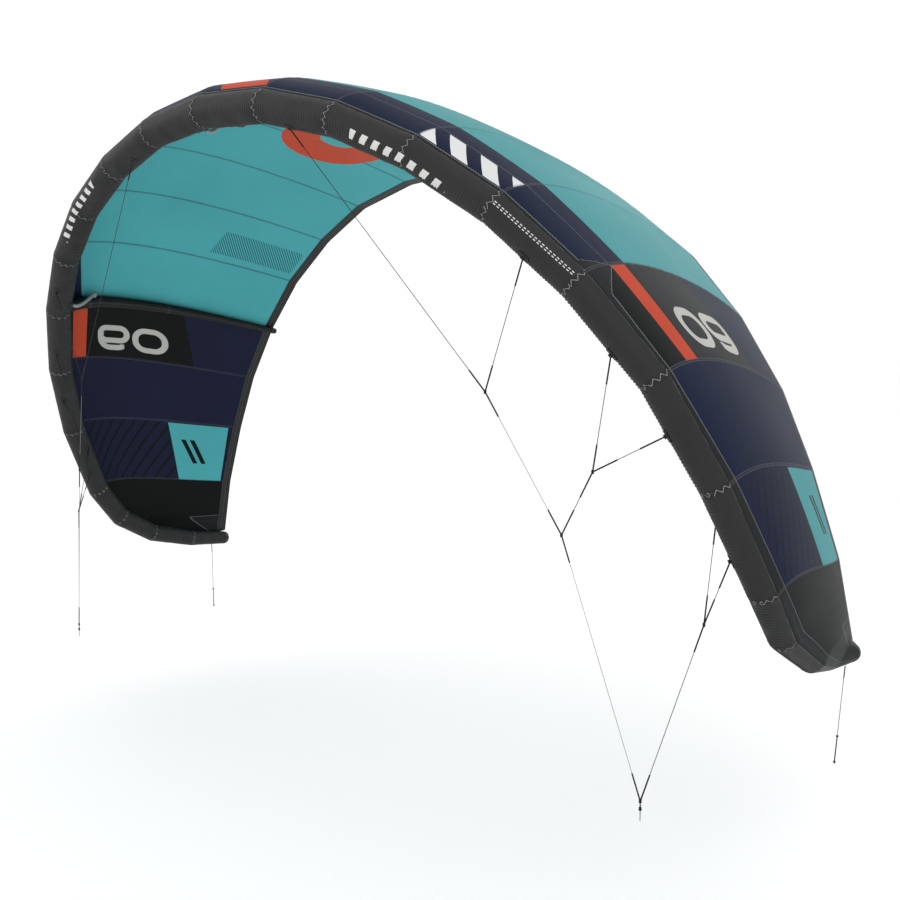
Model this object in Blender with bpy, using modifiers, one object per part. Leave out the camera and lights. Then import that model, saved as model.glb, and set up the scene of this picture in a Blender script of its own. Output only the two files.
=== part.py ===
import bpy
import bmesh
import math
from mathutils import Matrix, Vector

# Kite frame, in metres: origin in the leading edge tube at the middle seam,
# +X to the right tip, +Y aft to the trailing edge, +Z up.

# Overall sizes
sparPanel = 0.385          # length of one leading edge panel near the middle
chordMiddle = 1.575        # leading edge axis to trailing edge at the middle seam
tubeDiameter = 0.134       # leading edge tube at the middle

# Leading edge, one entry for each panel from the middle seam to the tip
panelShare = [1, 1, 1, 1, 1, 1.05, 1.055, 1.105, 0.593, 0.654, 0.665, 0.63]
archAngle = [4.6, 14.8, 24.0, 33.1, 43.5, 53.8, 67.9, 77.7, 89.6, 89.4, 131.0, 115.0]
sweepAngle = [1.8, 4.6, 6.6, 10.5, 14.1, 17.9, 21.5, 26.8, 38.5, 61.0, 73.0, 84.0]
tubeShare = [1, 0.985, 0.977, 0.97, 0.957, 0.948, 0.933, 0.904, 0.863, 0.824, 0.763, 0.675, 0.588]

# Trailing edge, angles and lengths of its pieces from the middle to the tip
edgeAngle = [4.3, 14.4, 28.1, 37.5, 48.4, 57.3, 66.3, 71.0]
edgeShare = [0.99, 0.975, 0.895, 0.93, 0.925, 0.928, 0.888, 0.968]
edgeDrop = 0.058           # trailing edge below the tube axis at the middle
cornerAngle = 78.5
cornerLength = 0.331
cornerSteps = [0.0, 0.42, 0.72, 0.92, 0.985]

# Canopy
leaveAngle = 109.0         # where the cloth leaves the tube, from the chord
leaveLift = 42.0           # extra rise of the cloth off the tube at the middle
liftEnd = 5                # station where that extra rise has faded out
frontPull = 0.11           # shares of the chord that shape the camber, at the middle
tipPull = 0.19             # and from the fifth station on
rearPull = 0.46
exitAngle = 12.5
clothThick = 0.001
bandWidth = 0.052
chordSteps = 12
tipRoom = 0.09 * tubeDiameter   # how far the cloth of the tip stays off the tube

# Tubes
wall = 0.0010
gap = 0.0003
bladderWall = 0.0008
tubeSides = 28
strutFront = 0.067         # strut diameters at the leading edge and at the trailing edge
strutRear = 0.034
strutOver = 0.018          # length of the round end past the trailing edge
strutStation = 5
strutSides = 20
strutShares = [0.0, 0.06, 0.14, 0.24, 0.36, 0.48, 0.6, 0.72, 0.84, 0.93, 1.0]
strutBlend = 0.14          # share of a strut over which it comes up to the cloth
rootDepth = 0.55           # its front end, in tube radii behind the axis
rootDrop = 0.15
seamRoom = 0.0016

# Bridle and pigtails
lineDiameter = 0.0024
knotRoom = 0.010
sleeveRoom = 0.002
pigtailDiameter = 0.005
frontTail = 0.068
rearTail = 0.40
rearShare = 0.65           # place of the rear pigtail along the last length of the tube
rearLean = Vector((-0.028, -0.012, -rearTail))

# Valve and hoses
valveFlange = 0.052
valveNeck = 0.030
valveHeight = 0.012
valveRim = 0.004           # wall of the neck
valveShare = 0.45          # place along the first panel
valveTurn = -35.0          # round the tube, from straight aft
hoseDiameter = 0.018
hoseReach = 0.045
hoseShift = 0.075
hoseRoom = 0.0015
hoseStraight = 0.012
hoseTurn = 38.0            # round the tube, below the chord

for old in list(bpy.data.objects):
    bpy.data.objects.remove(old, do_unlink=True)

kite = bpy.data.collections.new("kitesurf_kite")
cutters = bpy.data.collections.new("cutters")
cutters.hide_render = True
for group in (kite, cutters):
    bpy.context.scene.collection.children.link(group)


def makeMaterial(name, colour, roughness, metallic=0.0):
    material = bpy.data.materials.new(name)
    material.use_nodes = True
    shader = material.node_tree.nodes["Principled BSDF"]
    shader.inputs["Base Color"].default_value = (*colour, 1)
    shader.inputs["Roughness"].default_value = roughness
    shader.inputs["Metallic"].default_value = metallic
    material.diffuse_color = (*colour, 1)
    return material


dacron = makeMaterial("dacron_grey", (0.035, 0.035, 0.038), 0.6)
bladderFilm = makeMaterial("bladder_film", (0.5, 0.5, 0.48), 0.35)
tealCloth = makeMaterial("canopy_teal", (0.11, 0.36, 0.4), 0.5)
navyCloth = makeMaterial("canopy_navy", (0.024, 0.03, 0.06), 0.5)
blackCloth = makeMaterial("canopy_black", (0.015, 0.015, 0.016), 0.5)
bandCloth = makeMaterial("edge_band", (0.012, 0.012, 0.013), 0.55)
lineFibre = makeMaterial("bridle_line", (0.3, 0.3, 0.3), 0.7)
tailFibre = makeMaterial("pigtail_line", (0.03, 0.03, 0.03), 0.7)
hoseRubber = makeMaterial("hose_silicone", (0.42, 0.42, 0.42), 0.4)
valvePlastic = makeMaterial("valve_plastic", (0.02, 0.02, 0.02), 0.4)


def direction(arch, sweep):
    flat = math.cos(math.radians(sweep))
    return Vector((flat * math.cos(math.radians(arch)), math.sin(math.radians(sweep)),
                   -flat * math.sin(math.radians(arch))))


# Stations on the right half: tube axis points and radii, then trailing edge points
axis = [Vector((0, 0, 0))]
for share, arch, sweep in zip(panelShare, archAngle, sweepAngle):
    axis.append(axis[-1] + direction(arch, sweep) * sparPanel * share)
radius = [tubeDiameter / 2 * share for share in tubeShare]
edge = [Vector((0, chordMiddle, -edgeDrop))]
for share, arch in zip(edgeShare, edgeAngle):
    edge.append(edge[-1] + direction(arch, 0) * sparPanel * share)
corner = edge[-1] + direction(cornerAngle, 0) * cornerLength
root = edge.pop()
edge += [root.lerp(corner, step) for step in cornerSteps]
tipStation = len(axis) - 1
panelEnd = 8


def tubeWay(station):
    if station == 0:
        return Vector((1, 0, 0))
    if station == tipStation:
        return (axis[-1] - axis[-2]).normalized()
    before = (axis[station] - axis[station - 1]).normalized()
    after = (axis[station + 1] - axis[station]).normalized()
    return (before + after).normalized()


# Ring directions carried along the tube, so that its sides don't twist
forward = [Vector((0, -1, 0))]
for station in range(1, tipStation + 1):
    way = tubeWay(station)
    carried = forward[-1] - way * forward[-1].dot(way)
    forward.append(carried.normalized())


def section(station, start=0.0, end=1.0, lift=0.0, steps=chordSteps):
    """Camber curve of the canopy at a station: leaves the tube along its skin, ends at the trailing edge."""
    way = tubeWay(station)
    chord = edge[station] - axis[station]
    across = (chord - way * chord.dot(way)).normalized()
    up = across.cross(way)
    up = -up if up.dot(Vector((0.45, 0, 1))) < 0 else up
    turn = math.radians(leaveAngle)
    skin = radius[station] + gap + clothThick / 2 + lift
    first = axis[station] + (across * math.cos(turn) + up * math.sin(turn)) * skin
    turn += math.radians(leaveLift * max(0, 1 - station / liftEnd))
    leave = across * math.sin(turn) - up * math.cos(turn)
    length = chord.length
    along = chord.normalized()
    rise = (up - along * up.dot(along)).normalized()
    last = edge[station] + rise * lift
    exitWay = math.radians(exitAngle)
    share = min(1, station / liftEnd)
    pull = first + leave * length * (frontPull + (tipPull - frontPull) * share)
    push = last + (rise * math.sin(exitWay) - along * math.cos(exitWay)) * length * rearPull
    points = []
    for step in range(steps + 1):
        t = start + (end - start) * step / steps
        s = 1 - t
        point = first * s ** 3 + pull * 3 * s * s * t + push * 3 * s * t * t + last * t ** 3
        if station > panelEnd:
            point = clearOfTube(point, clothThick / 2 + tipRoom)
        points.append(point)
    return points


def clearOfTube(point, room):
    """Moves a tip point that lies inside the leading edge out to its skin."""
    for lower in range(panelEnd, tipStation):
        run = axis[lower + 1] - axis[lower]
        share = (point - axis[lower]).dot(run) / run.length_squared
        share = min(max(share, 0), 1.2 if lower == tipStation - 1 else 1)
        centre = axis[lower] + run * share
        size = radius[lower] + (radius[lower + 1] - radius[lower]) * min(share, 1) + room
        if (point - centre).length < size:
            point = centre + (point - centre).normalized() * size
    return point


def bandStart(station, room=0.0):
    """Share of the camber curve where the trailing edge band begins, less a gap."""
    speed = 3 * rearPull * (edge[station] - axis[station]).length
    return 1 - bandWidth / max(speed, bandWidth * 1.6) - room / speed


def flip(point, side):
    return Vector((point.x * side, point.y, point.z))


def finish(name, mesh, material, smooth=True):
    obj = bpy.data.objects.new(name, mesh)
    obj.data.materials.append(material)
    kite.objects.link(obj)
    if smooth:
        for face in mesh.polygons:
            face.use_smooth = True
    return obj


def loftMesh(name, rows, ring=False, cap=False, capStart=False):
    form = bmesh.new()
    made = [[form.verts.new(point) for point in row] for row in rows]
    width = len(rows[0])
    for first, second in zip(made, made[1:]):
        for i in range(width if ring else width - 1):
            j = (i + 1) % width
            form.faces.new((first[i], first[j], second[j], second[i]))
    if cap:
        form.faces.new(made[-1])
    if capStart:
        form.faces.new(made[0][::-1])
    bmesh.ops.recalc_face_normals(form, faces=form.faces)
    mesh = bpy.data.meshes.new(name)
    form.to_mesh(mesh)
    form.free()
    return mesh


def thicken(obj, thickness, offset):
    shell = obj.modifiers.new("wall", "SOLIDIFY")
    shell.thickness = thickness
    shell.offset = offset
    shell.use_even_offset = True
    shell.use_rim = True


def ringAt(centre, way, size, sides, upward):
    side = way.cross(upward).normalized()
    up = side.cross(way)
    return [centre + (side * math.cos(a) + up * math.sin(a)) * size
            for a in (2 * math.pi * i / sides for i in range(sides))]


def tubeRings(first, last, side, inset=0.0, gapStart=0.0, gapEnd=0.0):
    """Rings of the leading edge from one station to another, joints mitred."""
    rings = []
    for station in range(first, last + 1):
        centre = axis[station].copy()
        if station == first:
            centre += (axis[station + 1] - axis[station]).normalized() * gapStart
        if station == last:
            centre -= (axis[station] - axis[station - 1]).normalized() * gapEnd
        way = flip(tubeWay(station), side)
        rings.append(ringAt(flip(centre, side), way, radius[station] - inset, tubeSides,
                            flip(forward[station], side)))
    return rings


def roundEnd(side, inset=0.0):
    """Closing rings of the tip end."""
    way = tubeWay(tipStation)
    rings = []
    for reach, size in ((0.35, 0.97), (0.62, 0.86), (0.8, 0.68), (0.92, 0.42), (0.97, 0.2)):
        full = radius[tipStation] - inset
        centre = axis[-1] + way * (full * 0.8 * reach)
        rings.append(ringAt(flip(centre, side), flip(way, side), full * size, tubeSides,
                            flip(forward[-1], side)))
    return rings


# Leading edge sleeve, in four sewn lengths a side, and the bladder inside it
sleeveBreaks = [0, 2, 5, panelEnd, tipStation]
for side, tag in ((1, "right"), (-1, "left")):
    for number, (first, last) in enumerate(zip(sleeveBreaks, sleeveBreaks[1:]), 1):
        rows = tubeRings(first, last, side, 0, gap / 2, 0 if last == tipStation else gap / 2)
        if last == tipStation:
            rows += roundEnd(side)
        mesh = loftMesh(f"le_sleeve_{tag}_{number}", rows, True, last == tipStation)
        obj = finish(f"le_sleeve_{tag}_{number}", mesh, dacron)
        thicken(obj, wall, -1)

inset = wall + gap
bladderRows = []
for station in range(-tipStation, tipStation + 1):
    side = -1 if station < 0 else 1
    centre = flip(axis[abs(station)], side)
    way = flip(tubeWay(abs(station)), side) * side
    bladderRows.append(ringAt(centre, way, radius[abs(station)] - inset, tubeSides,
                              flip(forward[abs(station)], side)))
bladder = finish("le_bladder", loftMesh("le_bladder", bladderRows, True, True, True), bladderFilm)
thicken(bladder, bladderWall, -1)


# Canopy panels a side, and the band along the trailing edge
panels = [(0, 2, "1", tealCloth), (2, 4, "2", tealCloth), (4, 5, "3", tealCloth),
          (5, 6, "4", blackCloth), (6, 8, "5", navyCloth), (8, 12, "6", blackCloth)]
for side, tag in ((1, "right"), (-1, "left")):
    for first, last, number, cloth in panels:
        rows = []
        for station in range(first, last + 1):
            rows.append(section(station, 0.0, bandStart(station, 3 * gap)))
        for row, other in ((0, 1), (-1, -2)):
            rows[row] = [a + (b - a).normalized() * gap / 2 for a, b in zip(rows[row], rows[other])]
        rows = [[flip(point, side) for point in row] for row in rows]
        panel = finish(f"canopy_{tag}_{number}", loftMesh(f"canopy_{tag}_{number}", rows), cloth)
        thicken(panel, clothThick, 0)
    rows = [section(station, bandStart(station), 1.0, 0.0, 3) for station in range(0, tipStation + 1)]
    rows[0] = [a + (b - a).normalized() * gap / 2 for a, b in zip(rows[0], rows[1])]
    rows = [[flip(point, side) for point in row] for row in rows]
    band = finish(f"edge_band_{tag}", loftMesh(f"edge_band_{tag}", rows), bandCloth)
    thicken(band, clothThick, 0)


# Struts: sewn under the canopy, cut to sit against the leading edge
def strutPath(station):
    """Points under the canopy curve, from inside the tube to past the trailing edge."""
    upper = section(station, 0.0, 1.0, 0.0, 40)
    way = tubeWay(station)
    chord = edge[station] - axis[station]
    across = (chord - way * chord.dot(way)).normalized()
    down = way.cross(across)
    down = -down if down.dot(Vector((0.45, 0, 1))) > 0 else down
    length = chord.length
    path, sizes = [], []
    start = axis[station] + across * radius[station] * rootDepth
    root = start + down * radius[station] * rootDrop
    for share in strutShares:
        size = (strutFront * (1 - share) + strutRear * share) / 2
        reach = radius[station] * rootDepth + (length - radius[station] * rootDepth) * share
        cloth = min(upper, key=lambda point: abs((point - axis[station]).dot(chord.normalized()) - reach))
        under = cloth + down * (size + clothThick + gap + seamRoom)
        if share < strutBlend:
            mix = share / strutBlend
            under = start.lerp(under, 0.35 + 0.65 * mix) if share else root
        path.append(under)
        sizes.append(size)
    return path, sizes


def strutRows(station, side, inset=0.0, closed=True):
    path, sizes = strutPath(station)
    sideways = flip(tubeWay(station), side)
    rows = []
    for i, (point, size) in enumerate(zip(path, sizes)):
        way = (path[min(i + 1, len(path) - 1)] - path[max(i - 1, 0)]).normalized()
        rows.append(ringAt(flip(point, side), flip(way, side), size - inset, strutSides, sideways))
    if closed:
        way = (path[-1] - path[-2]).normalized()
        for reach, share in ((0.4, 0.96), (0.7, 0.8), (0.9, 0.52), (1.0, 0.22)):
            centre = path[-1] + way * strutOver * reach
            rows.append(ringAt(flip(centre, side), flip(way, side), (sizes[-1] - inset) * share, strutSides,
                               sideways))
    return rows


def cutBy(obj, cutter, name):
    cutter.hide_render = True
    cutter.display_type = "WIRE"
    kite.objects.unlink(cutter)
    cutters.objects.link(cutter)
    trim = obj.modifiers.new(name, "BOOLEAN")
    trim.operation = "DIFFERENCE"
    trim.solver = "EXACT"
    trim.object = cutter


def tubeCutter(name, stations, side):
    rows = []
    for station in stations:
        mirrored = -1 if station < 0 else 1
        centre = flip(axis[abs(station)], mirrored * side)
        way = flip(tubeWay(abs(station)), mirrored * side) * mirrored
        rows.append(ringAt(centre, way, radius[abs(station)] + gap, tubeSides,
                           flip(forward[abs(station)], mirrored * side)))
    mesh = loftMesh(name, rows, True)
    form = bmesh.new()
    form.from_mesh(mesh)
    bmesh.ops.holes_fill(form, edges=form.edges)
    bmesh.ops.recalc_face_normals(form, faces=form.faces)
    form.to_mesh(mesh)
    form.free()
    return finish(name, mesh, dacron)


for tag, station, side in (("middle", 0, 1), ("right", strutStation, 1), ("left", strutStation, -1)):
    near = (-1, 0, 1) if station == 0 else (station - 1, station, station + 1)
    strut = finish(f"strut_{tag}", loftMesh(f"strut_{tag}", strutRows(station, side), True, True), dacron)
    thicken(strut, wall, -1)
    cutBy(strut, tubeCutter(f"cut_strut_{tag}", near, side), "seat")
    inner = strutRows(station, side, inset, False)[2:-1]
    lining = finish(f"strut_bladder_{tag}", loftMesh(f"strut_bladder_{tag}", inner, True), bladderFilm)
    thicken(lining, bladderWall, -1)


# Bridle, right half: where the lines meet, and the tabs on the tube as panel, share along it and way out
ends = {
    "n1": Vector((1.353, 0.186, -1.109)),
    "n2": Vector((1.699, 0.340, -1.374)),
    "n3": Vector((1.603, 0.297, -1.594)),
    "n4": Vector((2.027, 0.521, -1.875)),
    "n5": Vector((1.860, 0.411, -2.492)),
}
tabs = {
    "a1": (1, 0.46, (-0.012, -0.024, -0.060)),
    "a2": (4, 0.52, (-0.025, -0.048, -0.034)),
    "a3": (5, 0.63, (-0.032, -0.039, -0.037)),
    "a4": (6, 0.44, (-0.032, -0.036, -0.035)),
    "a5": (7, 0.28, (-0.052, 0.022, -0.016)),
    "a6": (7, 0.64, (-0.042, -0.020, -0.030)),
}
for key, (base, share, out) in tabs.items():
    size = radius[base] * (1 - share) + radius[base + 1] * share
    along = (axis[base + 1] - axis[base]).normalized()
    out = Vector(out) - along * Vector(out).dot(along)
    ends[key] = axis[base].lerp(axis[base + 1], share) + out.normalized() * (size + sleeveRoom)
lines = [("a1", "n1"), ("a2", "n1"), ("a3", "n2"), ("a4", "n2"), ("n1", "n3"), ("n2", "n3"),
         ("a5", "n4"), ("a6", "n4"), ("n3", "n5"), ("n4", "n5")]


def cord(name, points, size, material, resolution=2):
    curve = bpy.data.curves.new(name, "CURVE")
    curve.dimensions = "3D"
    curve.bevel_depth = size / 2
    curve.bevel_resolution = resolution
    curve.use_fill_caps = True
    spline = curve.splines.new("POLY")
    spline.points.add(len(points) - 1)
    for target, point in zip(spline.points, points):
        target.co = (*point, 1)
    spline.use_smooth = True
    obj = bpy.data.objects.new(name, curve)
    obj.data.materials.append(material)
    kite.objects.link(obj)
    return obj


for side, tag in ((1, "right"), (-1, "left")):
    for first, last in lines:
        a, b = flip(ends[first], side), flip(ends[last], side)
        way = (b - a).normalized()
        a = a + way * (knotRoom if first.startswith("n") else 0)
        b = b - way * knotRoom
        cord(f"bridle_{first}_{last}_{tag}", [a, b], lineDiameter, lineFibre)

    # Pigtails swing on the loops that they hang from, so their origins are at the tops
    top = flip(ends["n5"], side)
    tail = cord(f"pigtail_front_{tag}", [Vector((0, 0, -knotRoom)), Vector((0, 0, -frontTail))],
                pigtailDiameter, tailFibre)
    tail.location = top
    rear = axis[tipStation - 1].lerp(axis[tipStation], rearShare)
    low = rear + Vector((0.010, 0, -radius[tipStation] * 1.07 - 0.002))
    tail = cord(f"pigtail_rear_{tag}", [Vector((0, 0, 0)), flip(rearLean, side)], pigtailDiameter, tailFibre)
    tail.location = flip(low, side)


# Hoses that fill the struts from the leading edge
def hosePoints(station, side):
    way = tubeWay(station)
    path, sizes = strutPath(station)
    chord = edge[station] - axis[station]
    across = (chord - way * chord.dot(way)).normalized()
    down = way.cross(across)
    down = -down if down.dot(Vector((0.45, 0, 1))) > 0 else down
    near = axis[station - 1] if station else flip(axis[1], -1)
    along = (near - axis[station]).normalized()
    turn = math.radians(hoseTurn)
    leave = across * math.cos(turn) + down * math.sin(turn)
    leave = (leave - along * leave.dot(along)).normalized()
    root = axis[station] + along * hoseShift + leave * (radius[station] + hoseRoom)
    strutWay = (path[3] - path[1]).normalized()
    way = (way - strutWay * way.dot(strutWay)).normalized()
    seat = path[2] - way * (sizes[2] + hoseRoom)
    a = root + leave * hoseStraight
    b = seat - way * hoseStraight
    points = [root]
    for step in range(13):
        t = step / 12
        s = 1 - t
        points.append(a * s ** 3 + (a + leave * hoseReach) * 3 * s * s * t
                      + (b - way * hoseReach) * 3 * s * t * t + b * t ** 3)
    return [flip(point, side) for point in points + [seat]]


for tag, station, side in (("middle", 0, 1), ("right", strutStation, 1), ("left", strutStation, -1)):
    cord(f"fill_hose_{tag}", hosePoints(station, side), hoseDiameter, hoseRubber, 4)


# Inflation valve by the middle strut, on the rear of the tube, with its twist cap
centre = axis[0].lerp(axis[1], valveShare)
way = (axis[1] - axis[0]).normalized()
size = radius[0] * (1 - valveShare) + radius[1] * valveShare
turn = math.radians(valveTurn)
rearward = (Vector((0, 1, 0)) - way * way.y).normalized()
upward = way.cross(rearward)
outward = rearward * math.cos(turn) + upward * math.sin(turn)
frame = Matrix((way, outward.cross(way), outward)).transposed().to_4x4()


def lathe(name, profile, material, sides=32):
    form = bmesh.new()
    points = [form.verts.new((x, 0, z)) for x, z in profile]
    pairs = list(zip(points, points[1:]))
    if profile[0][0]:
        pairs.append((points[-1], points[0]))
    edges = [form.edges.new(pair) for pair in pairs]
    bmesh.ops.spin(form, geom=points + edges, cent=(0, 0, 0), axis=(0, 0, 1), angle=2 * math.pi,
                   steps=sides, use_merge=True)
    bmesh.ops.remove_doubles(form, verts=form.verts, dist=0.00001)
    bmesh.ops.recalc_face_normals(form, faces=form.faces)
    mesh = bpy.data.meshes.new(name)
    form.to_mesh(mesh)
    form.free()
    return finish(name, mesh, material)


bore = valveNeck / 2 - valveRim
base = lathe("valve_base", [(bore, -0.006), (valveNeck / 2, -0.006), (valveNeck / 2, 0.004),
                            (valveFlange / 2, 0.004), (valveFlange / 2, 0.007), (valveNeck / 2, 0.008),
                            (valveNeck / 2, valveHeight), (bore, valveHeight)], valvePlastic)
seat = centre + outward * size
base.matrix_world = Matrix.Translation(seat) @ frame
for obj in (bladder, bpy.data.objects["le_sleeve_right_1"]):
    hole = lathe(f"cut_{obj.name}_valve", [(0, -0.02), (valveNeck / 2 + gap, -0.02),
                                           (valveNeck / 2 + gap, 0.02), (0, 0.02)], valvePlastic)
    hole.matrix_world = Matrix.Translation(seat) @ frame
    cutBy(obj, hole, "valve hole")
cap = lathe("valve_cap", [(0, 0.0006), (valveNeck / 2 + 0.002, 0.0006), (valveNeck / 2 + 0.002, 0.006),
                          (valveNeck / 2, 0.008), (0, 0.008)], valvePlastic)
cap.matrix_world = Matrix.Translation(seat + outward * valveHeight) @ frame
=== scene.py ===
import bpy
import bmesh
import math
from mathutils import Matrix, Vector, noise


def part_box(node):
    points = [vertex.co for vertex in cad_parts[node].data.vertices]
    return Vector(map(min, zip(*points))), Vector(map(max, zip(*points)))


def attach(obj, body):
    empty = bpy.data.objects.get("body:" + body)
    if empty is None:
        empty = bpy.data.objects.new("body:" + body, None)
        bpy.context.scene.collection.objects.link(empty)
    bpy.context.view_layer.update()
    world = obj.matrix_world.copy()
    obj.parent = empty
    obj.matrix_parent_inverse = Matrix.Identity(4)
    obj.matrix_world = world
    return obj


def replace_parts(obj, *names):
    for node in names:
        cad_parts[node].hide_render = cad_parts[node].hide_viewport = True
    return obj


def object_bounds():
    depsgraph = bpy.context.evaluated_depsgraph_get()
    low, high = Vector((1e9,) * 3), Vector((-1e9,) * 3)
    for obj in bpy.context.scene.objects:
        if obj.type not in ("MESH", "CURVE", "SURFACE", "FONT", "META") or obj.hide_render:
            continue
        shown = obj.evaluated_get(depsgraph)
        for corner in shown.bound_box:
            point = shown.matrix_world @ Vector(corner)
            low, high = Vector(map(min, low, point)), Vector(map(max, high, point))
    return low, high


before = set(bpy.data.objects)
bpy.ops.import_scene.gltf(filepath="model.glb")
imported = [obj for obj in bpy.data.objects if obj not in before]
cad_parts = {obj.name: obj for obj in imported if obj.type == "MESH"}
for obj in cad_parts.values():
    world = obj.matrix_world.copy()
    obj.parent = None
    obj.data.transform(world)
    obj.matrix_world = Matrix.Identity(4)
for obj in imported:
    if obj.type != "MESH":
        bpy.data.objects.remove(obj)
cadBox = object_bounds()
print("frame loaded:", len(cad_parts), "nodes")

# the kite's own sizes, as in the frame, but with less room between cloth and tube at the tips
kite = {
    "panel": 0.385, "chord": 1.575, "tube": 0.134,
    "panelShare": [1, 1, 1, 1, 1, 1.05, 1.055, 1.105, 0.593, 0.654, 0.665, 0.63],
    "arch": [4.6, 14.8, 24.0, 33.1, 43.5, 53.8, 67.9, 77.7, 89.6, 89.4, 131.0, 115.0],
    "sweep": [1.8, 4.6, 6.6, 10.5, 14.1, 17.9, 21.5, 26.8, 38.5, 61.0, 73.0, 84.0],
    "tubeShare": [1, 0.985, 0.977, 0.97, 0.957, 0.948, 0.933, 0.904, 0.863, 0.824, 0.763, 0.675, 0.588],
    "edgeArch": [4.3, 14.4, 28.1, 37.5, 48.4, 57.3, 66.3, 71.0],
    "edgeShare": [0.99, 0.975, 0.895, 0.93, 0.925, 0.928, 0.888, 0.968],
    "edgeDrop": 0.058, "cornerArch": 78.5, "cornerLength": 0.331,
    "cornerSteps": [0.0, 0.42, 0.72, 0.92, 0.985],
    "leave": 109.0, "leaveLift": 42.0, "liftEnd": 5, "tipPull": 0.19, "frontPull": 0.11,
    "rearPull": 0.46, "exit": 12.5, "band": 0.052, "tipRoom": 0.0045,
    "tip": 12, "full": 8,
}


def flip(point, side):
    return Vector((point.x * side, point.y, point.z))


def heading(arch, sweep):
    flat = math.cos(math.radians(sweep))
    return Vector((flat * math.cos(math.radians(arch)), math.sin(math.radians(sweep)),
                   -flat * math.sin(math.radians(arch))))


axis = [Vector((0, 0, 0))]
for share, arch, sweep in zip(kite["panelShare"], kite["arch"], kite["sweep"]):
    axis.append(axis[-1] + heading(arch, sweep) * kite["panel"] * share)
tubeSize = [kite["tube"] / 2 * share for share in kite["tubeShare"]]
rear = [Vector((0, kite["chord"], -kite["edgeDrop"]))]
for share, arch in zip(kite["edgeShare"], kite["edgeArch"]):
    rear.append(rear[-1] + heading(arch, 0) * kite["panel"] * share)
rearRoot = rear.pop()
rearTip = rearRoot + heading(kite["cornerArch"], 0) * kite["cornerLength"]
rear += [rearRoot.lerp(rearTip, step) for step in kite["cornerSteps"]]


def panelAt(s):
    # the panel that a place is in, and how far it is along it
    lower = min(int(abs(s)), kite["tip"] - 1)
    return lower, abs(s) - lower


def tubeWay(station):
    if station == 0:
        return Vector((1, 0, 0))
    if station == kite["tip"]:
        return (axis[-1] - axis[-2]).normalized()
    before = (axis[station] - axis[station - 1]).normalized()
    after = (axis[station + 1] - axis[station]).normalized()
    return (before + after).normalized()


forward = [Vector((0, -1, 0))]
for station in range(1, kite["tip"] + 1):
    way = tubeWay(station)
    forward.append((forward[-1] - way * forward[-1].dot(way)).normalized())


def clearOfTube(point, room):
    for lower in range(kite["full"], kite["tip"]):
        run = axis[lower + 1] - axis[lower]
        share = (point - axis[lower]).dot(run) / run.length_squared
        share = min(max(share, 0), 1.2 if lower == kite["tip"] - 1 else 1)
        centre = axis[lower] + run * share
        size = tubeSize[lower] + (tubeSize[lower + 1] - tubeSize[lower]) * min(share, 1) + room
        if (point - centre).length < size:
            point = centre + (point - centre).normalized() * size
    return point


def stationAxes(station):
    # the chord, the way square to the tube towards the rear, and the way out of the arch
    way = tubeWay(station)
    chord = rear[station] - axis[station]
    across = (chord - way * chord.dot(way)).normalized()
    up = across.cross(way)
    return chord, across, -up if up.dot(Vector((0.45, 0, 1))) < 0 else up


def camberFrame(station):
    # the four control points of the cloth's curve at a station, its way up and its chord
    chord, across, up = stationAxes(station)
    turn = math.radians(kite["leave"])
    first = axis[station] + (across * math.cos(turn) + up * math.sin(turn)) * (tubeSize[station] + 0.0008)
    turn += math.radians(kite["leaveLift"] * max(0, 1 - station / kite["liftEnd"]))
    leave = across * math.sin(turn) - up * math.cos(turn)
    length = chord.length
    along = chord.normalized()
    rise = (up - along * up.dot(along)).normalized()
    share = min(1, station / kite["liftEnd"])
    pull = first + leave * length * (kite["frontPull"] + (kite["tipPull"] - kite["frontPull"]) * share)
    turn = math.radians(kite["exit"])
    push = rear[station] + (rise * math.sin(turn) - along * math.cos(turn)) * length * kite["rearPull"]
    return first, pull, push, rear[station], rise, length


camber = [camberFrame(station) for station in range(kite["tip"] + 1)]


def camberPoint(station, t):
    first, pull, push, last = camber[station][:4]
    s = 1 - t
    point = first * s ** 3 + pull * 3 * s * s * t + push * 3 * s * t * t + last * t ** 3
    return clearOfTube(point, kite["tipRoom"] - 0.0005) if station > kite["full"] else point


def clothPoint(s, t, out=0.0):
    # s counts panels from the middle, negative to the left, and t runs from the tube to the trailing edge
    side = -1 if s < 0 else 1
    lower, mix = panelAt(s)
    point = camberPoint(lower, t).lerp(camberPoint(lower + 1, t), mix)
    if out:
        point += camber[lower][4].lerp(camber[lower + 1][4], mix).normalized() * out
    return flip(point, side)


def bandStart(s):
    lower, mix = panelAt(s)
    shares = []
    for station in (lower, lower + 1):
        speed = 3 * kite["rearPull"] * camber[station][5]
        shares.append(1 - kite["band"] / max(speed, kite["band"] * 1.6))
    return shares[0] + (shares[1] - shares[0]) * mix


def ringPoint(station, angle, size):
    # angle 0 faces upwind and a quarter turn on is the outside of the arch
    way = tubeWay(station)
    side = way.cross(forward[station]).normalized()
    return axis[station] + (forward[station] * math.cos(angle) - side * math.sin(angle)) * size


def tubePoint(s, angle, out=0.0):
    side = -1 if s < 0 else 1
    lower, mix = panelAt(s)
    first = ringPoint(lower, angle, tubeSize[lower] + out)
    second = ringPoint(lower + 1, angle, tubeSize[lower + 1] + out)
    return flip(first.lerp(second, mix), side)


def tubeCentre(s):
    lower, mix = panelAt(s)
    return flip(axis[lower].lerp(axis[lower + 1], mix), -1 if s < 0 else 1)


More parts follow.
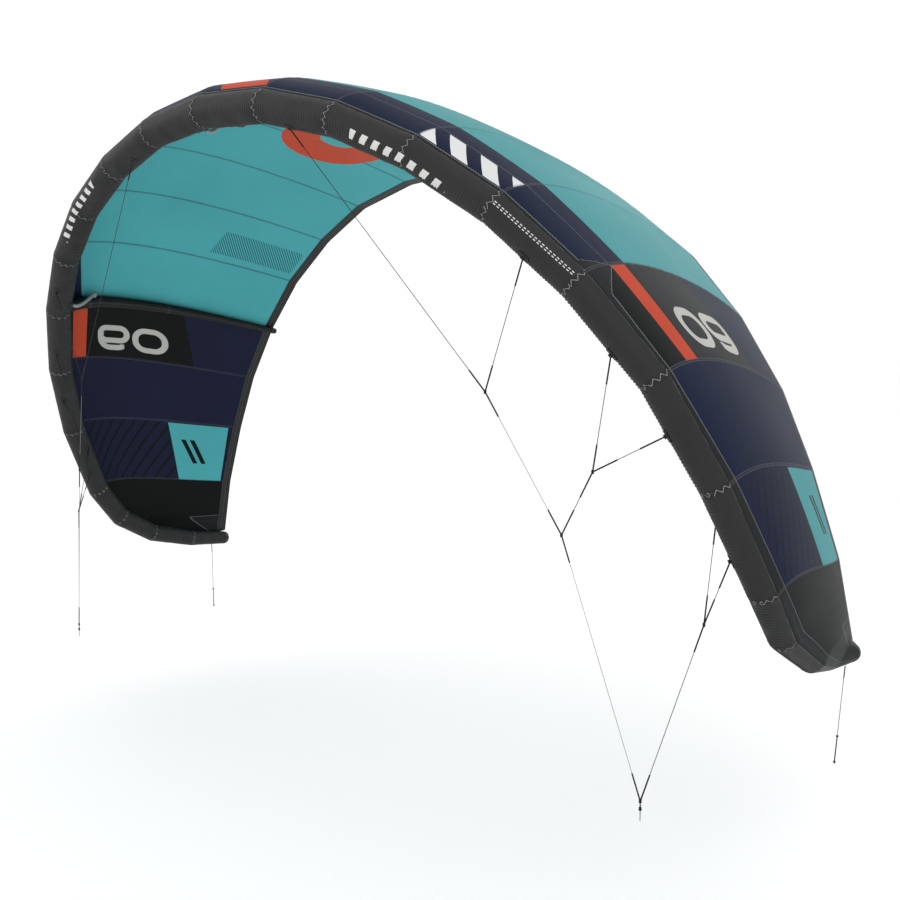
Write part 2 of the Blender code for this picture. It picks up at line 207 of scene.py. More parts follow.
# camera and stage
cameraSetup = {"place": (3.933, -2.773, -0.978), "look": (-0.6777, 0.7305, -0.0844), "lens": 45.47}
cameraData = bpy.data.cameras.new("camera")
cameraData.lens = cameraSetup["lens"]
cameraData.sensor_width = 36
camera = bpy.data.objects.new("camera", cameraData)
bpy.context.scene.collection.objects.link(camera)
camera.location = cameraSetup["place"]
camera.rotation_mode = "QUATERNION"
camera.rotation_quaternion = Vector(cameraSetup["look"]).to_track_quat("-Z", "Y")
cameraData.clip_end = 500
bpy.context.scene.camera = camera
bpy.context.scene.view_settings.view_transform = "Standard"


# shader wiring
def linear(value):
    return value / 12.92 if value <= 0.04045 else ((value + 0.055) / 1.055) ** 2.4


def tint(code):
    return tuple(linear(int(code[i:i + 2], 16) / 255) for i in (0, 2, 4)) + (1.0,)


class Signal:
    # a socket that takes part in sums
    def __init__(self, board, socket):
        self.board = board
        self.socket = socket

    def maths(self, operation, first, second=0.0, third=0.0):
        values = {0: first, 1: second, 2: third}
        return self.board.node("ShaderNodeMath", {"operation": operation}, values)

    def __add__(self, other):
        return self.maths("ADD", self, other)

    def __radd__(self, other):
        return self.maths("ADD", other, self)

    def __sub__(self, other):
        return self.maths("SUBTRACT", self, other)

    def __rsub__(self, other):
        return self.maths("SUBTRACT", other, self)

    def __mul__(self, other):
        return self.maths("MULTIPLY", self, other)

    def __rmul__(self, other):
        return self.maths("MULTIPLY", other, self)

    def __truediv__(self, other):
        return self.maths("DIVIDE", self, other)

    def __gt__(self, other):
        return self.maths("GREATER_THAN", self, other)

    def __lt__(self, other):
        return self.maths("LESS_THAN", self, other)

    def __abs__(self):
        return self.maths("ABSOLUTE", self)

    def __mod__(self, other):
        return self.maths("FLOORED_MODULO", self, other)

    def __or__(self, other):
        return self.maths("MAXIMUM", self, other)

    def __and__(self, other):
        return self.maths("MULTIPLY", self, other)

    def least(self, other):
        return self.maths("MINIMUM", self, other)

    def root(self):
        return self.maths("SQRT", self)


class Board:
    # one material and its nodes
    def __init__(self, name, roughness=0.5, metallic=0.0, **fixed):
        self.material = bpy.data.materials.new(name)
        self.material.use_nodes = True
        self.tree = self.material.node_tree
        self.shader = self.tree.nodes["Principled BSDF"]
        self.colour = None
        self.set("Roughness", roughness)
        self.set("Metallic", metallic)
        for key, value in fixed.items():
            self.set(key.replace("_", " "), value)

    def set(self, key, value):
        self.feed(self.shader.inputs[key], value)

    def feed(self, socket, value):
        if isinstance(value, Signal):
            self.tree.links.new(value.socket, socket)
        else:
            socket.default_value = value

    def node(self, kind, settings=None, values=None, out=0):
        made = self.tree.nodes.new(kind)
        for key, value in (settings or {}).items():
            setattr(made, key, value)
        for key, value in (values or {}).items():
            self.feed(made.inputs[key], value)
        return Signal(self, made.outputs[out])

    def mix(self, share, first, second):
        return self.node("ShaderNodeMix", {"data_type": "RGBA"}, {0: share, 6: first, 7: second}, 2)

    def paint(self, mask, colour):
        # lays a colour over what is there, where the mask is 1
        self.colour = self.mix(mask, self.colour, colour)

    def uv(self, name):
        place = self.node("ShaderNodeUVMap", {"uv_map": name})
        split = self.node("ShaderNodeSeparateXYZ", {}, {0: place})
        return split, Signal(self, split.socket.node.outputs[1])

    def uvVector(self, name):
        return self.node("ShaderNodeUVMap", {"uv_map": name})

    def place(self):
        return self.node("ShaderNodeTexCoord", {}, {}, 3)

    def noise(self, where, scale, detail=3.0, roughness=0.5):
        return self.node("ShaderNodeTexNoise", {}, {"Vector": where, "Scale": scale, "Detail": detail,
                                                     "Roughness": roughness})

    def relief(self, height, strength, distance):
        values = {"Strength": strength, "Distance": distance, "Height": height}
        self.set("Normal", self.node("ShaderNodeBump", {}, values))


def between(signal, low, high):
    return (signal > low) & (signal < high)


def fold(signal, pitch):
    # a triangle wave from 0 to a half and back, once in each pitch
    return abs((signal / pitch) % 1.0 - 0.5)


print("shader board ready")


# cloth and tube materials
# the Under colours are the underside's copies of the same cloth: the lighter teal, navy and orange hold
# painted light coming through the cloth, and the darker charcoal holds painted shade
clothLook = {
    "teal": "408C90", "tealUnder": "47A0A6", "navy": "07122E", "navyUnder": "12162F", "black": "080808",
    "charcoal": "1D1E1F", "charcoalUnder": "080808", "tipBlack": "0F1011", "orange": "B13B1F",
    "orangeUnder": "B8442A", "white": "CFCFCF", "grey": "AFAFAB", "seamDark": "347A80",
    "stitch": "83868A", "edgeStitch": "9C9EA0", "patch": "1A1B1C", "dacron": "1C1D1E",
    # strip is painted shade: a darker navy for the crease where the cloth leaves the tube
    "hatch": "246068", "strip": "0A1230", "square": 0.005, "seamWidth": 0.013, "stitchPitch": 0.006,
}
tubeLook = {
    "base": "1A1A1B", "light": "262627", "tape": "151516", "stitch": "9A9A98", "print": "C9C9C6",
    "zigzagPitch": 0.030, "zigzagWave": 0.008, "jointTurn": 0.262,
}
digit = {"down": 0.585, "station": 5.66, "height": 0.066, "width": 0.083, "corner": 0.062, "stroke": 0.0175,
         "spacing": 0.108}


def roundedBox(x, y, halfX, halfY, corner):
    # distance to the outline of a box with round corners, negative inside
    fromX = abs(x) - (halfX - corner)
    fromY = abs(y) - (halfY - corner)
    outX = fromX | 0.0
    outY = fromY | 0.0
    outside = (outX * outX + outY * outY).root()
    return outside + (fromX | fromY).least(0.0) - corner


def ramp(board, value, low, high, first, last):
    return board.node("ShaderNodeMapRange", {"clamp": True}, {0: value, 1: low, 2: high, 3: first, 4: last})


def jointLine(board, a):
    # how far the sewn edge of the leading edge cloth comes back over the canopy, as a share
    line = ramp(board, a, 4.88, 5.02, 0.014, 0.150)
    line = line + ramp(board, a, 5.04, 5.26, 0.0, -0.118)
    line = line + ramp(board, a, 5.26, 6.0, 0.0, -0.018)
    line = line + ramp(board, a, 6.0, 8.0, 0.0, 0.066)
    return line + ramp(board, a, 8.0, 9.5, 0.0, 0.05)


def numeral(x, y):
    # a nought and a nine with round corners, drawn as strokes
    size = digit
    zero = abs(roundedBox(x + size["spacing"], y, size["width"], size["height"], size["corner"]))
    nineX = x - size["spacing"]
    bowl = abs(roundedBox(nineX, y - 0.024, size["width"], 0.042, 0.041)) < size["stroke"]
    outline = abs(roundedBox(nineX, y, size["width"], size["height"], size["corner"])) < size["stroke"]
    tail = outline & (nineX > 0.0) & (y < 0.03)
    foot = outline & (y < -0.042) & (nineX > -0.065)
    return (zero < size["stroke"]) | bowl | tail | foot


def makeCanopyMaterial(name, underside):
    look = clothLook
    board = Board(name, 0.5, Specular_IOR_Level=0.07)
    s, t = board.uv("panel")
    along, down = board.uv("flat")
    flat = board.uvVector("flat")
    a = abs(s)
    side = (s > 0.0) * 2.0 - 1.0
    colours = {key: tint(value) for key, value in look.items() if isinstance(value, str)}
    # the underside takes the copies of the colours that have painted light and shade in them
    suffix = "Under" if underside else ""
    teal, navy, charcoal, orange = [colours[key + suffix] for key in ("teal", "navy", "charcoal", "orange")]

    # panels, from the middle outwards
    board.colour = board.mix(a > 5.0, teal, charcoal)
    strip = (a - 3.0) * 0.05 + 0.10 if underside else a * 0.006 + 0.212
    board.paint((t < strip) & (a < 5.0) & (a > (3.0 if underside else -1.0)), navy)
    tailEdge = (a - 5.0) * (0.10 if underside else 0.14) + (0.66 if underside else 0.56)
    board.paint((a > 5.0) & (t > tailEdge), navy)
    board.paint(a > 6.0, navy)
    # painted shade: a darker navy band along the tube on panels 6 to 8, for the crease where the cloth
    # leaves the tube
    board.paint((a > 6.0) & (t < 0.17) & (a < 8.0), colours["strip"])
    # the tip's black is lighter on the top than underneath: painted light and shade on one cloth colour
    board.paint(a > 8.0, colours["black" if underside else "tipBlack"])

    # accents
    board.paint(between(a, 5.0, 6.0) & (t < 0.155), colours["black"])
    board.paint(between(a, 5.02, 5.99) & between(t, 0.152, 0.236), orange)
    stripes = ((along + down) % 0.067) < 0.013
    board.paint(between(a, 7.02, 7.98) & (t > 0.12) & stripes, colours["black"])
    front = (a - 7.0) * 0.05 + (0.66 if underside else 0.56)
    quad = between(a, 7.03, 8.0) & (t > front) & (t < 0.945)
    board.paint(quad, teal)
    # a plain pair of short bars in the teal block
    leanY = t - (a - 7.5) * 0.16 - 0.79
    pair = (abs(leanY - 0.022) < 0.012) | (abs(leanY + 0.022) < 0.012)
    board.paint((abs(a - 7.5) < 0.20) & pair, colours["black"])
    number = numeral((down - digit["down"]) * side, (digit["station"] - a) * 0.40)
    board.paint(number & between(a, 5.0, 6.0), colours["grey"])
    if underside:
        hatch = between(a, 3.40, 3.86) & (t > (0.70 - (a - 3.40) * 0.04)) & (t < 0.96)
        lines = ((down - along * 0.45) % 0.0125) < 0.0055
        board.paint(hatch & lines & (s < 0.0), colours["hatch"])
        # a plain closed loop near the middle of the left half
        x = a * kite["panel"] - 0.215
        y = t * 1.58 - 1.13
        loop = (roundedBox(x, y, 0.31, 0.21, 0.20) < 0.0) & (roundedBox(x, y, 0.13, 0.075, 0.07) > 0.0)
        printed = loop & (s < 0.0)
        board.paint(printed, orange)
    else:
        printed = between(s + t * 1.5, 0.36, 1.06) & between(t, 0.03, 0.16)
        board.paint(printed, orange)
        slide = a + (t - 0.02) * 2.17
        bars = ((slide - 3.02) % 0.365) < 0.19
        area = between(a, 3.0, 4.0) & between(t, 0.02, 0.137) & (slide > 3.02)
        board.paint(area & bars & (s > 0.0), colours["white"])
        line = abs(t - 0.145) < 0.0009
        board.paint(line & (a < 5.0) & ((along % 0.008) < 0.005), colours["stitch"])

    # the sewn edge of the leading edge cloth, with its zigzag
    joint = jointLine(board, a)
    board.paint(t < joint, colours["dacron"])
    zigzag = (fold(along, 0.012) - 0.25) * 0.012
    edge = abs((t - joint) * 1.2 - zigzag + 0.003) < 0.0012
    board.paint(edge * 0.9, colours["edgeStitch"])
    flapRow = (abs(down + 0.0058) < 0.0008) & ((along % 0.008) < 0.0055)
    board.paint(flapRow * 0.6, colours["stitch"])

    # reinforced corner at the tip, with zigzag stitches round it
    inCorner = (a > 9.8) & (t > 0.68)
    board.paint(inCorner, colours["patch"])
    corner = (abs(a - 9.8 - zigzag * 3.0) < 0.012) & (t > 0.68)
    rim = (abs(t - 0.68 - zigzag * 2.0) < 0.008) & (a > 9.8)
    board.paint((corner | rim) * 0.4, colours["stitch"])

    # sewn seams: a folded strip with a row of stitches on each side
    fromSeam = abs((a + 0.5) % 1.0 - 0.5) * kite["panel"]
    sewn = (a > 0.5) & (a < 8.5)
    seam = (fromSeam < look["seamWidth"] / 2) & sewn
    isTeal = (a < 5.0) & (t > strip) & (1.0 - printed)
    board.paint(seam & isTeal, colours["seamDark"])
    board.paint(seam * (0.16 if underside else 0.30) * (1.0 - isTeal), tint("3A3C40"))
    stitch = (abs(fromSeam - 0.0042) < 0.0006) & ((down % look["stitchPitch"]) < 0.0038) & sewn
    board.paint(stitch * 0.45, colours["stitch"])

    # ripstop squares, handling creases and slight fading
    gridX = fold(along, look["square"]) > 0.43
    gridY = fold(down, look["square"]) > 0.43
    grid = gridX | gridY
    cloud = board.noise(flat, 1.9, 4.0)
    fine = board.noise(flat, 700.0, 2.0)
    board.paint(grid * 0.05, tint("7E9496"))
    board.paint((cloud - 0.40) * 0.30, tint("0C0E12"))
    board.set("Base Color", board.colour)
    board.set("Roughness", 0.44 + cloud * 0.14 + fine * 0.05)
    crease = board.noise(flat, 7.0, 5.0, 0.6)
    height = grid * 0.06 + fine * 0.05 + seam * 0.5 + crease * 0.8 + edge * 0.2
    board.relief(height, 0.4, 0.0013)
    return board.material


def makeTubeMaterial():
    look = tubeLook
    board = Board("dacronSleeve", 0.55, Specular_IOR_Level=0.25)
    s, turn = board.uv("panel")
    along, around = board.uv("flat")
    flat = board.uvVector("flat")
    a = abs(s)
    half = (turn + 0.5) % 1.0 - 0.5
    cloud = board.noise(board.place(), 3.2, 4.0)
    board.colour = board.mix(cloud, tint(look["base"]), tint(look["light"]))
    # zigzag stitches over each sleeve joint, on a tape
    fromSeam = ((s + 0.5) % 1.0 - 0.5) * kite["panel"]
    wave = fold(around, look["zigzagPitch"]) * 4.0 - 1.0
    tape = abs(fromSeam) < 0.013
    board.paint(tape * 0.5, tint(look["tape"]))
    zigzag = abs(fromSeam - wave * look["zigzagWave"]) < 0.0013
    board.paint(zigzag & ((around % 0.0045) < 0.0036), tint(look["stitch"]))
    # the two rows of stitches that hold the canopy
    row = abs(abs(turn - look["jointTurn"]) - 0.006) < 0.0018
    board.paint(row & ((along % 0.008) < 0.0055), tint(look["stitch"]))
    # two rows of printed dashes on the fifth panel
    dash = ((along % 0.0165) < 0.0095) & between(a, 4.02, 4.97)
    rows = abs(abs(half - 0.083 - (a - 4.5) * 0.012) - 0.0105) < 0.0042
    board.paint(dash & rows & (s > 0.0), tint(look["print"]))
    # plain slanted bars, the tube's print
    bars = ((along - around * 0.45) % 0.060) < 0.030
    middle = (a - 2.35) * -0.030 - 0.040
    bars = bars & between(a, 2.35, 3.55) & (abs(half - middle) < 0.045)
    board.paint(bars, tint(look["print"]))
    board.set("Base Color", board.colour)
    weaveX = fold(along, 0.0016)
    weaveY = fold(around, 0.0016)
    rub = board.noise(board.place(), 26.0, 5.0, 0.6)
    board.set("Roughness", 0.46 + rub * 0.2)
    pebble = board.noise(flat, 90.0, 3.0)
    height = (weaveX + weaveY) * 0.10 + pebble * 0.35 + zigzag * 0.5 + tape * 0.4
    board.relief(height, 0.45, 0.0012)
    return board.material


def makeStrutMaterial():
    board = Board("strutSleeve", 0.55, Specular_IOR_Level=0.25)
    share, turn = board.uv("panel")
    along, around = board.uv("flat")
    cloud = board.noise(board.place(), 9.0, 4.0)
    board.colour = board.mix(cloud, tint("070708"), tint("101011"))
    seam = fold(share, 0.31) < 0.012
    wave = fold(around, 0.012) * 0.016 - 0.004
    zigzag = abs(((share / 0.31) % 1.0 - 0.5) * 0.46 - wave) < 0.0011
    cap = abs(share - 0.915) < 0.004
    rows = abs(abs(turn - 0.25) - 0.07) < 0.006
    stitches = (rows & ((along % 0.007) < 0.0045)) | zigzag | (cap & ((around % 0.006) < 0.004))
    board.paint(stitches * 0.35, tint("77797A"))
    board.set("Base Color", board.colour)
    rub = board.noise(board.place(), 40.0, 5.0, 0.6)
    board.set("Roughness", 0.48 + rub * 0.2)
    weave = fold(along, 0.0016) + fold(around, 0.0016)
    board.relief(weave * 0.15 + rub * 0.4 + seam * 0.5, 0.4, 0.001)
    return board.material


def makeBandMaterial():
    board = Board("edgeBand", 0.5, Specular_IOR_Level=0.25)
    v = board.uv("panel")[1]
    along, across = board.uv("flat")
    flat = board.uvVector("flat")
    board.colour = board.mix(v > 0.52, tint("232425"), tint("0C0D0E"))
    board.paint((abs(v - 0.52) < 0.02) * 0.7, tint("5F6163"))
    wave = fold(along, 0.009) * 0.012 - 0.003
    zigzag = abs(across - 0.040 - wave) < 0.0007
    hem = (abs(v - 0.06) < 0.012) & ((along % 0.007) < 0.0045)
    board.paint((zigzag | hem) * 0.6, tint("7C7E80"))
    cloud = board.noise(flat, 12.0, 4.0)
    board.paint(cloud * 0.25, tint("2A2B2D"))
    board.set("Base Color", board.colour)
    fine = board.noise(flat, 500.0, 2.0)
    board.set("Roughness", 0.45 + fine * 0.15)
    board.relief(fine + zigzag, 0.35, 0.0008)
    return board.material


def makePlainMaterial(name, base, other, scale, roughness, bumpHeight=0.0004, **fixed):
    board = Board(name, roughness, **fixed)
    where = board.place()
    cloud = board.noise(where, scale, 4.0)
    board.set("Base Color", board.mix(cloud, tint(base), tint(other)))
    fine = board.noise(where, scale * 9.0, 3.0)
    board.set("Roughness", fine * 0.18 + (roughness - 0.09))
    board.relief(fine, 0.35, bumpHeight)
    return board.material


def makeBraidMaterial(name, base, other, pitch):
    board = Board(name, 0.6, Specular_IOR_Level=0.25)
    where = board.place()
    x = board.node("ShaderNodeSeparateXYZ", {}, {0: where})
    y, z = Signal(board, x.socket.node.outputs[1]), Signal(board, x.socket.node.outputs[2])
    lean = x * 0.6 + y * 0.6
    first = fold(z + lean, pitch) * 2.0
    second = fold(z - lean, pitch) * 2.0
    strand = first.least(second)
    board.set("Base Color", board.mix(strand, tint(base), tint(other)))
    board.set("Roughness", 0.55 + strand * 0.15)
    board.relief(strand, 0.5, 0.0006)
    return board.material


# top and underside copies of the cloth; the underside's colours hold painted light and shade
canopyTop = makeCanopyMaterial("canopyTop", False)
canopyUnder = makeCanopyMaterial("canopyUnder", True)
dacron = makeTubeMaterial()
strutCloth = makeStrutMaterial()
bandCloth = makeBandMaterial()
webbing = makePlainMaterial("webbing", "0E0F10", "1B1C1D", 300.0, 0.7, 0.0006)
film = makePlainMaterial("bladderFilm", "A8A8A2", "BDBDB6", 8.0, 0.35)
hoseRubber = makePlainMaterial("siliconeHose", "7A7B79", "90918F", 40.0, 0.4)
valvePlastic = makePlainMaterial("valveBody", "1A1B1C", "242526", 60.0, 0.4)
clipPlastic = makePlainMaterial("clipPlastic", "2A2B2C", "37383A", 90.0, 0.45)
darkLine = makeBraidMaterial("darkLine", "1A1B1D", "2E2F31", 0.004)
lightLine = makeBraidMaterial("lightLine", "6A6C6E", "8C8E90", 0.004)
sleeveBraid = makeBraidMaterial("sleeveBraid", "0B0B0C", "19191A", 0.005)
print("materials ready")


# mesh helpers
def addPiece(name, form, material, body="kite", smooth=True):
    mesh = bpy.data.meshes.new(name)
    form.to_mesh(mesh)
    form.free()
    piece = bpy.data.objects.new(name, mesh)
    bpy.context.scene.collection.objects.link(piece)
    for each in (material if isinstance(material, list) else [material]):
        mesh.materials.append(each)
    if smooth:
        mesh.shade_smooth()
    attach(piece, body)
    return piece


def solidify(piece, thickness, offset=0.0, inner=0):
    wall = piece.modifiers.new("thickness", "SOLIDIFY")
    wall.thickness = thickness
    wall.offset = offset
    wall.use_rim = True
    wall.material_offset = inner
    wall.material_offset_rim = 0
    return wall


def sheetForm(columns, rows, place, reading, closed=False):
    # a flat grid laid over place(u, v), with its two texture maps from reading(u, v)
    form = bmesh.new()
    bmesh.ops.create_grid(form, x_segments=columns, y_segments=rows, size=0.5)
    panel = form.loops.layers.uv.new("panel")
    flat = form.loops.layers.uv.new("flat")
    maps = {}
    for vertex in form.verts:
        u, v = vertex.co.x + 0.5, vertex.co.y + 0.5
        maps[vertex] = (*reading(u, v), place(u, v))
    for face in form.faces:
        for loop in face.loops:
            loop[panel].uv = maps[loop.vert][0]
            loop[flat].uv = maps[loop.vert][1]
    for vertex in form.verts:
        vertex.co = maps[vertex][2]
    if closed:
        bmesh.ops.remove_doubles(form, verts=form.verts, dist=0.00002)
    return form


# canopy
canopySize = {"columns": 384, "rows": 76, "thickness": 0.0006, "puff": 0.004, "pucker": 0.0008,
              "narrow": 0.05, "flapRows": 4, "flap": 0.012, "flapOut": -0.0014, "area": 8.2}


def canopyS(u):
    return (u - 0.5) * 2 * (kite["tip"] - 0.15)


def rowShare(v):
    # below 0 on the flap sewn to the tube, then 0 to 1 over the open cloth, which starts with a narrow row
    step = 1 / canopySize["rows"]
    start = step * canopySize["flapRows"]
    if v < start - step * 0.01:
        return (v / start) ** 2.5 - 1
    narrow = step * canopySize["narrow"]
    past = v - start
    if past < step * 1.01:
        return past * canopySize["narrow"]
    return narrow + (past - step) / (1 - start - step) * (1 - narrow)


def flapPlace(s, share):
    # the cloth carried on round the tube, towards its front
    centre, seat = tubeCentre(s), clothPoint(s, 0)
    lower, mix = panelAt(s)
    ahead = flip(forward[lower].lerp(forward[lower + 1], mix), -1 if s < 0 else 1)
    out = (seat - centre).normalized()
    ahead = (ahead - out * ahead.dot(out)).normalized()
    size = tubeSize[lower] + (tubeSize[lower + 1] - tubeSize[lower]) * mix
    reach = (seat - centre).length
    reach += (size + canopySize["flapOut"] - reach) * math.sin(min(share * 1.5, 1) * math.pi / 2)
    turn = share * (canopySize["flap"] + (seat - centre).length - size) / size
    return centre + (out * math.cos(turn) + ahead * math.sin(turn)) * reach


def canopyPlace(u, v):
    s = canopyS(u)
    if rowShare(v) < 0:
        return flapPlace(s, -rowShare(v))
    t = rowShare(v) * (bandStart(s) + 0.3 * (1 - bandStart(s)))
    mix = abs(s) % 1.0
    swell = math.sin(math.pi * mix) * math.sin(math.pi * min(1, t * 1.15)) * canopySize["puff"]
    nearSeam = math.exp(-min(mix, 1 - mix) * kite["panel"] / 0.02)
    nearTube = math.exp(-t / 0.05)
    ripple = math.sin(t * 150 + noise.noise(Vector((s * 3, t * 8, 0))) * 4) * nearSeam * (1 - nearTube)
    ripple += math.sin(s * 95 + noise.noise(Vector((s * 5, t * 20, 3))) * 5) * nearTube * 0.7
    fade = min(1, (kite["tip"] - abs(s)) / 1.5)
    if abs(s) > kite["full"]:
        swell *= 0.3
    return clothPoint(s, t, (swell + ripple * canopySize["pucker"]) * fade + 0.0002)


def canopyReading(u, v):
    s = canopyS(u)
    t = rowShare(v) * (bandStart(s) + 0.3 * (1 - bandStart(s)))
    lower, mix = panelAt(s)
    length = camber[lower][5] + (camber[lower + 1][5] - camber[lower][5]) * mix
    if rowShare(v) < 0:
        return (s, -0.001), (abs(s) * kite["panel"], rowShare(v) * canopySize["flap"])
    return (s, t), (abs(s) * kite["panel"], t * length)


canopy = addPiece("canopy", sheetForm(canopySize["columns"], canopySize["rows"], canopyPlace, canopyReading),
                  [canopyTop, canopyUnder])
solidify(canopy, canopySize["thickness"], 0.0, 1)
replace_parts(canopy, *[f"canopy_{side}_{number}" for side in ("right", "left") for number in range(1, 7)])
print("canopy made")


# band along the trailing edge
def bandPlace(u, v):
    s = canopyS(u)
    start = bandStart(s)
    return clothPoint(s, start + (1 - start) * v, 0.0)


def bandReading(u, v):
    s = canopyS(u)
    return (s, v), (s * kite["panel"], v * kite["band"])


bandForm = sheetForm(384, 8, bandPlace, bandReading)
edgeBand = addPiece("edgeBand", bandForm, bandCloth)
solidify(edgeBand, 0.0018)
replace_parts(edgeBand, "edge_band_right", "edge_band_left")
print("trailing edge band made")


# leading edge
tubeDetail = {"around": 64, "perPanel": 150, "tape": 0.0007, "pleat": 0.0019, "pitch": 0.0132, "split": 5,
              "capRings": 14, "capReach": 0.76, "bladderRoom": 0.006}


def tubeSurface(s, angle):
    lower, mix = panelAt(s)
    run = kite["panel"] * kite["panelShare"][lower]
    fromSeam = min(mix, 1 - mix) * run
    out = -0.0008 + math.sin(math.pi * mix) * 0.0004
    if fromSeam < 0.013:
        out += tubeDetail["tape"]
    dip = math.exp(-(fromSeam / 0.005) ** 2) * 0.0014
    # gathers round the inside of the arch, longest near the seams
    inside = min(max((0.22 - math.sin(angle)) / 0.55, 0), 1)
    wander = noise.noise(Vector((s * 3.1, angle * 0.7, 0))) * 2.6
    gather = math.sin(2 * math.pi * mix * run / tubeDetail["pitch"] + wander)
    depth = 0.55 + 0.35 * math.exp(-fromSeam / 0.06) + noise.noise(Vector((s * 6, angle, 7))) * 0.5
    out += gather * inside * max(depth, 0.1) * tubeDetail["pleat"]
    out += noise.noise(Vector((s * 9, math.cos(angle) * 2, math.sin(angle) * 2))) * 0.0005
    return tubePoint(s, angle, out - dip)


def closeTip(form, side):
    # the sewn round end, in rings that shrink towards the tip
    way = flip(tubeWay(kite["tip"]), side)
    size, centre = tubeSize[-1], flip(axis[-1], side)
    rim = [edge for edge in form.edges if edge.is_boundary
           and (edge.verts[0].co - centre).length < size * 1.3]
    panel, flat = form.loops.layers.uv["panel"], form.loops.layers.uv["flat"]
    steps = tubeDetail["capRings"]
    done = 0.0
    for step in range(1, steps + 1):
        share = step / steps
        reach = math.sin(share * math.pi / 2) * size * tubeDetail["capReach"]
        shrink = max(math.cos(share * math.pi / 2), 0.004) / math.cos((step - 1) / steps * math.pi / 2)
        grown = bmesh.ops.extrude_edge_only(form, edges=rim)["geom"]
        verts = [item for item in grown if isinstance(item, bmesh.types.BMVert)]
        inner = set(verts)
        rim = [item for item in grown if isinstance(item, bmesh.types.BMEdge)
               and item.verts[0] in inner and item.verts[1] in inner]
        for vertex in verts:
            offset = vertex.co - centre - way * done
            vertex.co = centre + way * reach + offset * shrink
        done = reach
        for face in {face for vertex in verts for face in vertex.link_faces}:
            for loop in face.loops:
                loop[panel].uv = (side * (kite["tip"] - 0.3), 0.1)
                loop[flat].uv = (4.6, share * 0.05)
    bmesh.ops.holes_fill(form, edges=rim)


def makeTube(name, side, first, last, nodes):
    columns = sum(int(tubeDetail["perPanel"] * min(1, kite["panelShare"][k])) for k in range(first, last))

    def place(u, v):
        return tubeSurface(side * max(first + (last - first) * u, 0.0001), 2 * math.pi * v)

    def reading(u, v):
        s = side * (first + (last - first) * u)
        return (s, v), (abs(s) * kite["panel"], v * 2 * math.pi * tubeSize[panelAt(s)[0]])

    form = sheetForm(columns, tubeDetail["around"], place, reading, True)
    if last == kite["tip"]:
        closeTip(form, side)
    bmesh.ops.remove_doubles(form, verts=form.verts, dist=0.00002)
    bmesh.ops.recalc_face_normals(form, faces=form.faces)
    piece = addPiece(name, form, dacron)
    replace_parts(piece, *nodes)


for side, tag in ((1, "right"), (-1, "left")):
    name = "leadingEdge" + tag.capitalize()
    makeTube(name, side, 0, tubeDetail["split"], [f"le_sleeve_{tag}_1", f"le_sleeve_{tag}_2"])
    makeTube(name + "Tip", side, tubeDetail["split"], kite["tip"],
             [f"le_sleeve_{tag}_3", f"le_sleeve_{tag}_4"])


def bladderPlace(u, v):
    s = (u - 0.5) * 2 * (kite["tip"] - 0.02)
    crinkle = noise.noise(Vector((s * 6, math.cos(v * 6.283), math.sin(v * 6.283)))) * 0.0015
    return tubePoint(s, 2 * math.pi * v, crinkle - tubeDetail["bladderRoom"])


bladderForm = sheetForm(480, 32, bladderPlace, lambda u, v: ((u, v), (u * 9, v * 0.4)), True)
bmesh.ops.holes_fill(bladderForm, edges=[edge for edge in bladderForm.edges if edge.is_boundary])
bmesh.ops.recalc_face_normals(bladderForm, faces=bladderForm.faces)
bladder = addPiece("leadingEdgeBladder", bladderForm, film)
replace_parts(bladder, "le_bladder")
print("leading edge made")


# struts
strutSize = {"front": 0.067, "rear": 0.034, "over": 0.018, "station": 5, "room": 0.0029, "begin": 0.55,
             "around": 40, "along": 90, "bladderRoom": 0.005, "bladderBegin": 0.12}


def strutPath(station):
    upper = [camberPoint(station, step / 160) for step in range(161)]
    chord, across, up = stationAxes(station)
    down = -up
    length, along = chord.length, chord.normalized()
    begin = tubeSize[station] * strutSize["begin"]
    start = axis[station] + across * begin
    path = []
    shares = (0.0, 0.06, 0.14, 0.24, 0.36, 0.48, 0.6, 0.72, 0.84, 0.93, 1.0)
    for share in shares:
        size = (strutSize["front"] * (1 - share) + strutSize["rear"] * share) / 2
        reach = begin + (length - begin) * share
        cloth = min(upper, key=lambda point: abs((point - axis[station]).dot(along) - reach))
        under = cloth + down * (size + strutSize["room"])
        if share < 0.14:
            mix = share / 0.14
            under = start.lerp(under, 0.35 + 0.65 * mix)
            if share == 0:
                under = start + down * tubeSize[station] * 0.15
        path.append((under, size))
    return path


def curvePoint(path, share):
    # a smooth curve through the path's points
    place = share * (len(path) - 1)
    lower = min(int(place), len(path) - 2)
    mix = place - lower
    p0 = path[max(lower - 1, 0)]
    p1, p2 = path[lower], path[lower + 1]
    p3 = path[min(lower + 2, len(path) - 1)]
    blend = []
    for a, b, c, d in zip(p0, p1, p2, p3):
        blend.append((b * 2 + (c - a) * mix + (a * 2 - b * 5 + c * 4 - d) * mix ** 2
                      + (b * 3 - a - c * 3 + d) * mix ** 3) * 0.5)
    return blend


